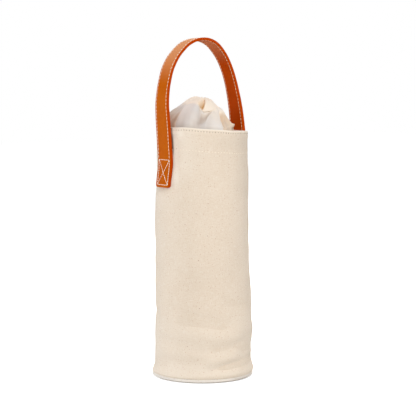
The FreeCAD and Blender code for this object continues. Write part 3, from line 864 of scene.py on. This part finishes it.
def paintCotton(thing, turn, place, hollow):
    # creamier where the casing is two layers, and creamier towards the leather on the right as painted
    # reflected light;
    # tan as painted shade beside the crease, under the lip, in the slit and on the facet
    turn = turnGap(turn, 0)
    onRight = ease(-6, 4, turn)
    farLeft = fall(-54, -38, turn)
    casingLow = 5.3 - 0.2 * onRight - farLeft
    casingHigh = 6.5 - 0.8 * onRight - 1.2 * farLeft
    casing = (0.85 - 0.1 * onRight) * ease(casingLow, casingHigh, place)
    rightSide = 0.4 * band(-4, 30, 100, 130, turn) * (0.3 + 0.7 * ease(1.6, 3.6, place))
    crease = byPlace(place, 31, 34.5, 41, 53, 66)
    tan = (1.35 - 0.1 * ease(crease + 12, crease + 40, turn)) * ease(crease - 1.5, crease + 1, turn)
    tan = tan * fall(110, 140, turn) * fall(3.6, 5.2, place)
    tan = tan + 1.05 * hump(turn, 34, 14) * hump(place, 5.1, 0.4)
    slitTurn = np.interp(place, [4, 5, 6, 7, 8, 9], [-9, -9, -4, 5, 12.5, 22])
    slitShade = 1.2 * nearTurn(turn, slitTurn - 5, 10) + 1.2 * nearTurn(turn, slitTurn, 3.6)
    slitShade = slitShade * ease(4.7, 5.7, place) * (1 - 0.45 * ease(7, 8, place))
    # painted shade: greyer down in the folds and low on the left, and browner beside the left leg of the
    # strap, with painted reflected light from the leather
    leftEdge = byPlace(place, -39, -39, -40, -46, -57, -62)
    hidden = byPlace(place, -62, -66, -92, -105)
    nearStrap = ease(hidden - 24, hidden, turn)
    strapSide = fall(leftEdge - 3.5, leftEdge + 1, turn) * nearStrap
    besideStrap = np.interp(place, [1, 2, 3.2, 3.9, 4.6, 5.2, 5.6], [0.3, 0.34, 0.5, 0.44, 0.22, 0.11, 0])
    besideStrap = besideStrap * strapSide
    lowLeft = np.interp(place, [1, 1.3, 1.85, 2.4, 3], [0.26, 0.25, 0.15, 0.05, 0])
    lowLeft = lowLeft * band(leftEdge - 2, leftEdge + 1, -30, -21, turn)
    strapShadeTint = np.interp(place, [1, 2, 2.8, 3.4, 4.2], [2.5, 2.4, 1.9, 0.7, 0])
    strapShadeTint = strapShadeTint * fall(leftEdge - 4, leftEdge + 1.5, turn) * nearStrap
    # painted shade in streaks between the small pleats beside the left leg
    pleatShade = 0.35 * (0.5 + 0.5 * pleatWave(turn)) * hump(turn, pouch["pleatTurn"], 4.5)
    pleatShade = pleatShade * band(0.4, 1, 1.8, 2.8, place)
    deep = 0.32 * hollow * (1 - 0.8 * ease(8, 24, turn))
    # the small three-sided facet that the lip shades
    ridge = byPlace(place, 2.7, 4.5, 10, 22, 41)
    facet = band(-6, -3, ridge - 2, ridge + 0.5, turn) * ease(1.6, 2.6, place)
    facet = facet * fall(4, 4.7, place)
    # painted shade over the left panel below the casing
    leftPanel = byPlace(place, 0.22, 0.23, 0.15, 0.05) * fall(-4, 4, turn) * (1 - casing)
    deep = np.maximum(deep, 0) + leftPanel + (0.29 + 0.12 * hump(place, 3.2, 0.6)) * facet
    # shaded low down: a hollow left of the middle, the foot of the facet, and the strip behind the crease
    deep = deep + (0.18 * hump(turn, -10, 4) + 0.14 * hump(turn, 7, 7)) * fall(1.5, 2.6, place)
    deep = deep + 0.16 * hump(turn, ridge + 4, 6) * fall(2.8, 3.6, place)
    behind = band(crease - 1.5, crease + 1, crease + 10, crease + 28, turn)
    deep = deep + 0.22 * behind * fall(2.6, 3.6, place) + 0.16 * behind * hump(place, 4, 0.5)
    paintPoints(thing, "casingAndPaintedLight", np.maximum(casing, rightSide) + tan + slitShade + strapShadeTint + 0.55 * facet)
    deep = deep * (1 - 0.8 * np.minimum(slitShade, 1))
    paintPoints(thing, "shade", np.clip(deep, 0, 0.7) + besideStrap + lowLeft + pleatShade)


cottonPouch = buildPouch()
print("pouch:", len(cottonPouch.data.polygons), "faces")

cord = {"ring": 9.3, "drop": 1.5, "strand": 0.95, "lay": 0.62, "turns": 9, "around": 180, "round": 8}


def buildCord():
    height = cadLimits("gathering_cord")[1][2] - cord["drop"]
    turns = roundTurns(cord["around"])
    section = np.radians(roundTurns(cord["round"]))
    strands = []
    for strand in range(2):
        phase = np.radians(turns) * cord["turns"] + strand * math.pi
        ring = cord["ring"] + cord["lay"] * np.cos(phase)
        lift = height + cord["lay"] * np.sin(phase)
        out = ring[:, None] + cord["strand"] * np.cos(section)
        up = lift[:, None] + cord["strand"] * np.sin(section)
        strands.append(faceOut(gridObject("cordStrand", onTurn(turns[:, None], out, up), along=True)))
    thing = joinPieces("gatheringCord", strands)
    dress(thing, cordCotton, "draw_cord", "gathering_cord")
    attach(thing, "pouch_mouth")


buildCord()
print("cord made")


# Strap: two leather plies from one tab over the arch to the other, with a painted edge

strap = {"ply": 1.7, "glue": 0.05, "half": 11.4, "springRise": 21.5, "crownRadius": 33, "corner": 2.5,
         "grip": 1.6, "tabSwell": 0.05, "topPress": 0.12, "round": 0.55, "swell": 0.14, "channel": 0.2,
         "row": 9.4, "curl": 0.75, "curlHeight": 230, "edge": 0.42, "step": 1.5, "roll": 0.05,
         "footSwing": 3.4, "boxSwing": 0.7, "outerSheen": (0.88, -18, 32),
         "innerSheen": (0.5, 4, 34)}
# how far each leg of the arch leans towards -X, at these heights
leanHeights = [255, 270, 280, 292, 306, 320, 334, 347, 360, 372, 381]
leftLean = [0, 0.6, 1.2, 2.3, 3.2, 4, 5.3, 7.4, 8.2, 6.8, 4.6]
rightLean = [0, 1, 2.3, 3.8, 6.2, 7.7, 7.7, 6.8, 5.4, 4.7, 4.4]
strapFoot = float(cadLimits("left_tab_outer_leather")[0][2])
strapThick = 2 * strap["ply"] + strap["glue"]
strapInside = float(cadLimits("right_tab_inner_leather")[0][0])
strapSpring = rimTop + strap["springRise"]
crownMiddle = float(cadLimits("handle_inner_leather")[1][2]) - strap["ply"] - strap["crownRadius"]


def archLine():
    # inside line of the strap: up the left leg, round three arcs, down the right leg
    crown = strap["crownRadius"]
    rise = crownMiddle - strapSpring
    reach = (strapInside ** 2 + rise ** 2 - crown ** 2) / (2 * (strapInside - crown))
    shift = reach - strapInside
    meet = math.atan2(rise, shift)
    legUp = np.linspace(strapFoot, strapSpring, 90, endpoint=False)
    left = [np.stack([np.full(len(legUp), -strapInside), legUp], axis=1)]
    sweep = np.linspace(0, meet, 160, endpoint=False)
    left.append(np.stack([shift - reach * np.cos(sweep), strapSpring + reach * np.sin(sweep)], axis=1))
    sweep = np.linspace(math.pi - meet, math.pi / 2, 80)
    left.append(np.stack([crown * np.cos(sweep), crownMiddle + crown * np.sin(sweep)], axis=1))
    left = np.concatenate(left)
    right = left[-2::-1] * np.array([-1, 1])
    return np.concatenate([left, right])


def leanLine(line):
    # the leather has taken a set: the arch leans towards the photograph's left
    across, height = line[:, 0], line[:, 1]
    onLeft = np.arange(len(line)) < len(line) / 2
    legs = [np.interp(height, leanHeights, leg) for leg in (leftLean, rightLean)]
    lean = np.where(onLeft, *legs)
    for again in range(40):
        lean[1:-1] = 0.5 * lean[1:-1] + 0.25 * (lean[:-2] + lean[2:])
    return np.stack([across - lean, height], axis=1)


strapLine = leanLine(archLine())
strapRun = np.concatenate([[0], np.cumsum(np.linalg.norm(np.diff(strapLine, axis=0), axis=1))])
strapLength = float(strapRun[-1])
strapHeading = np.gradient(strapLine, strapRun, axis=0)
strapHeading /= np.linalg.norm(strapHeading, axis=1)[:, None]
print("strap length", round(strapLength, 1), "mm")


def strapPoint(run, side, out):
    # run along the inside line, side across the width, out from the inside face
    run, side, out = np.broadcast_arrays(run, side, out)
    place = [np.interp(run, strapRun, strapLine[:, k]) for k in (0, 1)]
    heading = [np.interp(run, strapRun, strapHeading[:, k]) for k in (0, 1)]
    height = place[1]
    radius = wallRadius(strap["curlHeight"])
    curl = strap["curl"] * (radius - np.sqrt(radius ** 2 - side ** 2)) * fall(244, 266, height)
    # the plies stand thicker at the tabs and are pressed thinner over the arch
    press = strap["topPress"] * ease(300, 345, height)
    out = out * (1 + strap["tabSwell"] * fall(250, 285, height) - press) + press * strapThick / 2
    away = out - curl - strap["roll"] * side * ease(crownMiddle, crownMiddle + 30, height)
    # the left tab is sewn on a little askew
    swing = strap["footSwing"] * fall(strapFoot, strapFoot + 27, height)
    swing = swing - strap["boxSwing"] * hump(height, strapFoot + 32, 16)
    side = side + np.where(run < strapLength / 2, swing, 0)
    return np.stack([place[0] - heading[1] * away, side, height + heading[0] * away], axis=-1)


def strapHalf(run):
    # half width, drawn in at the rounded corners of both feet
    end = np.minimum(run, strapLength - run)
    corner = strap["corner"]
    inset = corner - np.sqrt(np.clip(corner ** 2 - np.clip(corner - end, 0, corner) ** 2, 0, None))
    return strap["half"] - inset - gripInset(run)


def gripInset(run):
    # the grip is pressed a little narrower than the tabs
    return strap["grip"] * ease(60, 120, np.minimum(run, strapLength - run))


def strapRows():
    ends = np.array([0, 0.12, 0.4, 0.9, 1.6, 2.5])
    middle = np.linspace(4, strapLength - 4, int(strapLength / strap["step"]))
    return np.concatenate([ends, middle, strapLength - ends[::-1]])


def plySection(low, high, faceHigh):
    # across the strap: the bare face has a slight swell and a channel along each stitch row
    half = strap["half"] - strap["edge"] / 2
    soft = strap["round"]
    bend = np.radians(np.linspace(0, 90, 5))
    face = np.linspace(-half + soft, half - soft, 43)
    dip = sum(hump(face, row, 0.75) for row in (-strap["row"], strap["row"]))
    relief = strap["swell"] * (1 - (face / half) ** 2) - strap["channel"] * dip
    cornerSide = half - soft + soft * np.sin(bend)
    cornerDrop = soft * (1 - np.cos(bend))
    side = np.concatenate([face, cornerSide[1:], [half], [-half], -cornerSide[:0:-1]])
    bare, glued, inward = (high, low, -1) if faceHigh else (low, high, 1)
    out = [bare - inward * relief, bare + inward * cornerDrop[1:], [glued, glued],
           bare + inward * cornerDrop[:0:-1]]
    return side, np.concatenate(out)


def swingStrap(thing):
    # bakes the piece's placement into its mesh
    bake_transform(thing)


def buildPly(name, low, high, faceHigh, nodes):
    rows = strapRows()
    side, out = plySection(low, high, faceHigh)
    narrow = strapHalf(rows) / strap["half"]
    points = strapPoint(rows[:, None], side[None, :] * narrow[:, None], out[None, :])
    thing = faceOut(gridObject(name, points, caps=True))
    # painted sheen near the top of the arch, stronger on the outer face
    share, start, full = strap["outerSheen" if faceHigh else "innerSheen"]
    paintedSheen = share * ease(crownMiddle + start, crownMiddle + full, np.interp(rows, strapRun, strapLine[:, 1]))
    paintPoints(thing, "paintedSheen", np.repeat(paintedSheen, len(side)))
    dress(thing, leather if faceHigh else shadedLeather, "tan_leather", *nodes)
    swingStrap(thing)


def buildEdge():
    # a bead of edge paint all round the strap, over the cut sides of both plies
    corner = strap["corner"]
    half = strap["half"]
    bend = np.radians(np.linspace(0, 90, 7))
    long = np.linspace(corner, strapLength - corner, int(strapLength / strap["step"]))
    outline = []
    for quarter in range(4):
        # twice a long side, then the two corners of a foot
        if quarter % 2 == 0:
            way = 1 - quarter
            outline += [(run, way * half, 0, way) for run in long[::way]]
        middleRun = strapLength - corner if quarter < 2 else corner
        middleSide = half - corner if quarter in (0, 3) else corner - half
        for turned in bend[1:-1] if quarter == 3 else bend[1:]:
            sine = math.sin(turned + quarter * math.pi / 2)
            cosine = math.cos(turned + quarter * math.pi / 2)
            outline.append((middleRun + corner * sine, middleSide + corner * cosine, sine, cosine))
    outline = np.array(outline)
    outline[:, 1] -= np.sign(outline[:, 1]) * gripInset(outline[:, 0])
    sweep = np.linspace(0, math.pi, 9)
    bulge = np.concatenate([[-0.7], strap["edge"] * (np.sin(sweep) * 0.9 - 0.75), [-0.7]])
    middle = strapThick / 2
    level = np.concatenate([[0.4], middle - (middle + 0.02) * np.cos(sweep), [strapThick - 0.4]])
    points = strapPoint(outline[:, :1] + outline[:, 2:3] * bulge, outline[:, 1:2] + outline[:, 3:4] * bulge,
                        level[None, :])
    thing = faceOut(gridObject("strapEdge", points, along=True))
    dress(thing, edgePaint, "tan_leather")
    swingStrap(thing)


buildPly("strapInnerPly", 0, strap["ply"], False,
         ("handle_inner_leather", "left_tab_inner_leather", "right_tab_inner_leather"))
buildPly("strapOuterPly", strap["ply"] + strap["glue"], strapThick, True,
         ("handle_outer_leather", "left_tab_outer_leather", "right_tab_outer_leather"))
buildEdge()
print("strap made")


# Stitches: one node tree sets a small rounded stitch on every point of a row

def stitchTree():
    tree = bpy.data.node_groups.new("stitchRow", "GeometryNodeTree")
    tree.interface.new_socket("Points", in_out="INPUT", socket_type="NodeSocketGeometry")
    for name in ("Length", "Width", "Height", "Unevenness"):
        tree.interface.new_socket(name, in_out="INPUT", socket_type="NodeSocketFloat")
    tree.interface.new_socket("Thread", in_out="INPUT", socket_type="NodeSocketMaterial")
    tree.interface.new_socket("Stitches", in_out="OUTPUT", socket_type="NodeSocketGeometry")
    given = tree.nodes.new("NodeGroupInput")
    result = tree.nodes.new("NodeGroupOutput")
    ball = addNode(tree, "GeometryNodeMeshUVSphere", Segments=8, Rings=5, Radius=0.5)
    size = addNode(tree, "ShaderNodeCombineXYZ", X=given.outputs["Length"], Y=given.outputs["Width"],
                   Z=given.outputs["Height"])
    shaped = addNode(tree, "GeometryNodeTransform", Geometry=ball.outputs[0], Scale=size.outputs[0])
    along, out = (addNode(tree, "GeometryNodeInputNamedAttribute", {"data_type": "FLOAT_VECTOR"}, Name=name)
                  for name in ("along", "out"))
    lie = addNode(tree, "FunctionNodeAlignRotationToVector", {"axis": "X"}, Vector=along.outputs[0])
    face = addNode(tree, "FunctionNodeAlignRotationToVector", {"axis": "Z", "pivot_axis": "X"},
                   Rotation=lie.outputs[0], Vector=out.outputs[0])
    least = sums(tree, "SUBTRACT", 1, given.outputs["Unevenness"])
    change = addNode(tree, "FunctionNodeRandomValue", {"data_type": "FLOAT"}, i2=least, i3=1, Seed=4)
    placed = addNode(tree, "GeometryNodeInstanceOnPoints", Points=given.outputs["Points"],
                     Instance=shaped.outputs[0], Rotation=face.outputs[0], Scale=change.outputs[1])
    whole = addNode(tree, "GeometryNodeRealizeInstances", Geometry=placed.outputs[0])
    smooth = addNode(tree, "GeometryNodeSetShadeSmooth", Geometry=whole.outputs[0])
    coloured = addNode(tree, "GeometryNodeSetMaterial", Geometry=smooth.outputs[0],
                       Material=given.outputs["Thread"])
    tree.links.new(coloured.outputs[0], result.inputs[0])
    return tree


stitchRow = stitchTree()


def sewRow(name, places, alongs, outs, sizes, thread):
    mesh = bpy.data.meshes.new(name + "Points")
    mesh.from_pydata((places * mm).tolist(), [], [])
    for label, vectors in (("along", alongs), ("out", outs)):
        layer = mesh.attributes.new(label, "FLOAT_VECTOR", "POINT")
        layer.data.foreach_set("vector", np.asarray(vectors, np.float32).ravel())
    thing = newObject(name, mesh)
    sewing = thing.modifiers.new("sewing", "NODES")
    sewing.node_group = stitchRow
    values = {"Length": sizes[0] * mm, "Width": sizes[1] * mm, "Height": sizes[2] * mm,
              "Unevenness": stitches["uneven"], "Thread": thread}
    for item in stitchRow.interface.items_tree:
        if item.in_out == "INPUT" and item.name in values:
            sewing[item.identifier] = values[item.name]
    applyModifiers(thing)
    return thing


# dashes are pitch, length and width
stitches = {"edgeDash": (3.9, 3.6, 0.66), "boxDash": (2.9, 3.1, 0.85), "height": 0.6, "uneven": 0.12,
            "sink": 0.02, "boxLow": 3, "boxHigh": 31, "boxProud": 0.06, "leftBox": (-9.8, 7.6, 8.6, -9.4),
            "outerStart": 32.5, "innerStart": 40, "channelLift": 0.15}
wallRows = {
    "rimTopstitching": {"drop": wall["topstitchDrop"], "pitch": 3.2, "shift": 0, "size": (2, 0.8, 0.4),
                        "thread": naturalThread, "slot": "natural_thread", "nodes": ["rim_topstitching"]},
    # the dark dots are painted shade of the needle holes
    "rimNeedleHoleShades": {"drop": wall["topstitchDrop"], "pitch": 3.2, "shift": 0.5, "size": (1.05, 1, 0.35),
                       "thread": needleHoleShade, "slot": "natural_thread", "nodes": []},
    "hemStitching": {"drop": wall["hemDrop"], "pitch": 3.6, "shift": 0, "size": (2.5, 1.15, 0.9),
                     "thread": paleThread, "slot": "pale_thread", "nodes": ["hem_stitching"]},
}


def spread(start, end, pitch):
    start, end = np.asarray(start, float), np.asarray(end, float)
    count = max(2, int(round(np.linalg.norm(end - start) / pitch)))
    shares = (np.arange(count) + 0.5) / count
    return start + shares[:, None] * (end - start)


def sewStrap(name, lines, level, thread, pitch, length, width):
    # lines are pairs of (run, side) ends on one face of the strap, level is how far out that face is
    places, alongs, outs = [], [], []
    for start, end in lines:
        spots = spread(start, end, pitch)
        spots[:, 1] *= 1 - gripInset(spots[:, 0]) / strap["half"]
        ahead = np.subtract(end, start)
        ahead = ahead / np.linalg.norm(ahead)
        here = strapPoint(spots[:, 0], spots[:, 1], level)
        there = strapPoint(spots[:, 0] + 0.3 * ahead[0], spots[:, 1] + 0.3 * ahead[1], level)
        above = strapPoint(spots[:, 0], spots[:, 1], level + 1)
        places.append(here)
        alongs.append(there - here)
        outs.append(above - here)
    sizes = (length, width, stitches["height"])
    return sewRow(name, np.concatenate(places), np.concatenate(alongs), np.concatenate(outs), sizes, thread)


def sewHandle():
    low, high, row = stitches["boxLow"], stitches["boxHigh"], strap["row"]
    sunk = strap["channel"] - stitches["channelLift"]
    faces = (("handleStitching", stitches["outerStart"], strapThick - sunk, paleThread,
              ["handle_stitching"]),
             ("handleStitchingInside", stitches["innerStart"], sunk, shadedThread, []))
    for name, start, level, thread, nodes in faces:
        lines = [((start, side), (strapLength - start, side)) for side in (-row, row)]
        rows = sewStrap(name, lines, level, thread, *stitches["edgeDash"])
        dress(rows, None, "pale_thread", *nodes)
        swingStrap(rows)
    for side, mirror in (("left", False), ("right", True)):
        sides = (-row, row, row, -row) if mirror else stitches["leftBox"]
        corners = list(zip((low, low, high, high), sides))
        if mirror:
            corners = [(strapLength - run, across) for run, across in corners]
        lines = [(corners[k], corners[(k + 1) % 4]) for k in range(4)]
        lines += [(corners[0], corners[2]), (corners[1], corners[3])]
        box = sewStrap(side + "BoxStitching", lines, strapThick + stitches["boxProud"], paleThread,
                       *stitches["boxDash"])
        dress(box, paleThread, "pale_thread", side + "_tab_stitching")
        swingStrap(box)


def wallRow(drop, pitch, shift):
    height = rimTop - drop
    count = int(round(2 * math.pi * wallRadius(height) / pitch))
    turns = (np.arange(count) + shift) * 360 / count
    radius = wallOut(turns, np.full(count, height))
    places = onRim(turns, radius - stitches["sink"], height)
    outs = onTurn(turns, np.ones(count), np.zeros(count))
    ahead = onTurn(turns + 90, np.ones(count), np.zeros(count))
    return places, ahead, outs


def sewRim():
    for name, row in wallRows.items():
        places = wallRow(row["drop"], row["pitch"], row["shift"])
        thing = sewRow(name, *places, row["size"], row["thread"])
        dress(thing, None, row["slot"], *row["nodes"])
        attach(thing, "carrier")


sewHandle()
sewRim()
print("stitching sewn")


# The two hidden CAD pieces that stay keep their solids and get a finish

for node, finish in (("base_board", boardCard), ("base_seam_stitching", naturalThread)):
    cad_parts[node].data.materials.clear()
    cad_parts[node].data.materials.append(finish)


# Camera, floor and light

shot = {"turn": -39, "distance": 1.85, "height": 0.3698, "aimSide": 0.0062, "aimHeight": 0.1903,
        "lens": 142.3, "sensor": 36}


def pointAt(thing, target):
    thing.rotation_euler = (Vector(target) - thing.location).to_track_quat("-Z", "Y").to_euler()


def buildCamera():
    turn = math.radians(shot["turn"])
    lens = bpy.data.cameras.new("photoCamera")
    lens.lens = shot["lens"]
    lens.sensor_width = shot["sensor"]
    camera = newObject("photoCamera", lens)
    camera.location = (shot["distance"] * math.sin(turn), -shot["distance"] * math.cos(turn), shot["height"])
    aim = Vector((math.cos(turn) * shot["aimSide"], math.sin(turn) * shot["aimSide"], shot["aimHeight"]))
    pointAt(camera, aim)
    bpy.context.scene.camera = camera


light = {"world": 0.43, "floorGlow": 0.64, "floorColour": 0.88, "floorHalf": 4, "floorDrop": 0.0002,
         "aim": (0, 0, 0.2)}
# turn is measured like the pouch's: 0 is the camera's side, plus is the photograph's right
lamps = {
    "keyWindow": {"turn": 1, "distance": 2.1, "height": 1.6, "size": 1.1, "power": 31,
                  "tint": (1, 0.985, 0.96)},
    "leftFill": {"turn": -102, "distance": 1.7, "height": 0.1, "size": 1, "power": 17.5,
                 "tint": (0.86, 0.92, 1)},
    "highRight": {"turn": 74, "distance": 1.35, "height": 1.4, "size": 0.45, "power": 5.5},
    "backPanel": {"turn": 172, "distance": 1.6, "height": 1.1, "size": 0.9, "power": 9},
}


def buildLamp(name, turn, distance, height, size, power, tint=(1, 1, 1)):
    data = bpy.data.lights.new(name, "AREA")
    data.shape = "DISK"
    data.size = size
    data.energy = power
    data.color = tint
    lamp = newObject(name, data)
    angle = math.radians(photoSide + turn)
    lamp.location = (distance * math.cos(angle), distance * math.sin(angle), height)
    pointAt(lamp, light["aim"])


def whiteForCamera(tree, plain, out):
    # what the camera sees, also in gloss, is white; everything else is lit by the plain shader
    rays = addNode(tree, "ShaderNodeLightPath")
    seen = sums(tree, "MAXIMUM", rays.outputs["Is Camera Ray"], rays.outputs["Is Transmission Ray"])
    seen = sums(tree, "MAXIMUM", seen, rays.outputs["Is Glossy Ray"])
    white = addNode(tree, "ShaderNodeBackground", Strength=1)
    white.inputs["Color"].default_value = (1, 1, 1, 1)
    mix = addNode(tree, "ShaderNodeMixShader", i0=seen, i1=plain, i2=white.outputs[0])
    tree.links.new(mix.outputs[0], out)


def buildStage():
    world = bpy.data.worlds.new("studio")
    bpy.context.scene.world = world
    world.use_nodes = True
    tree = world.node_tree
    soft = tree.nodes["Background"]
    soft.inputs["Color"].default_value = (1, 0.985, 0.965, 1)
    soft.inputs["Strength"].default_value = light["world"]
    whiteForCamera(tree, soft.outputs[0], tree.nodes["World Output"].inputs["Surface"])
    mesh = bpy.data.meshes.new("floor")
    half = light["floorHalf"]
    corners = [(across * half, deep * half, -light["floorDrop"])
               for across, deep in ((-1, -1), (1, -1), (1, 1), (-1, 1))]
    mesh.from_pydata(corners, [], [(0, 1, 2, 3)])
    floor = newObject("floor", mesh)
    paper = bpy.data.materials.new("paperFloor")
    paper.use_nodes = True
    tree = paper.node_tree
    tree.nodes.clear()
    matt = addNode(tree, "ShaderNodeBsdfDiffuse", Color=(light["floorColour"],) * 3 + (1,))
    rays = addNode(tree, "ShaderNodeLightPath")
    glow = addNode(tree, "ShaderNodeEmission", Color=(1, 1, 1, 1),
                   Strength=sums(tree, "MULTIPLY", rays.outputs["Is Camera Ray"], light["floorGlow"]))
    both = addNode(tree, "ShaderNodeAddShader", i0=matt.outputs[0], i1=glow.outputs[0])
    out = addNode(tree, "ShaderNodeOutputMaterial")
    tree.links.new(both.outputs[0], out.inputs["Surface"])
    mesh.materials.append(paper)
    for name, settings in lamps.items():
        buildLamp(name, **settings)
    bpy.context.scene.view_settings.view_transform = "Standard"


buildCamera()
buildStage()
print("camera, floor and light set")
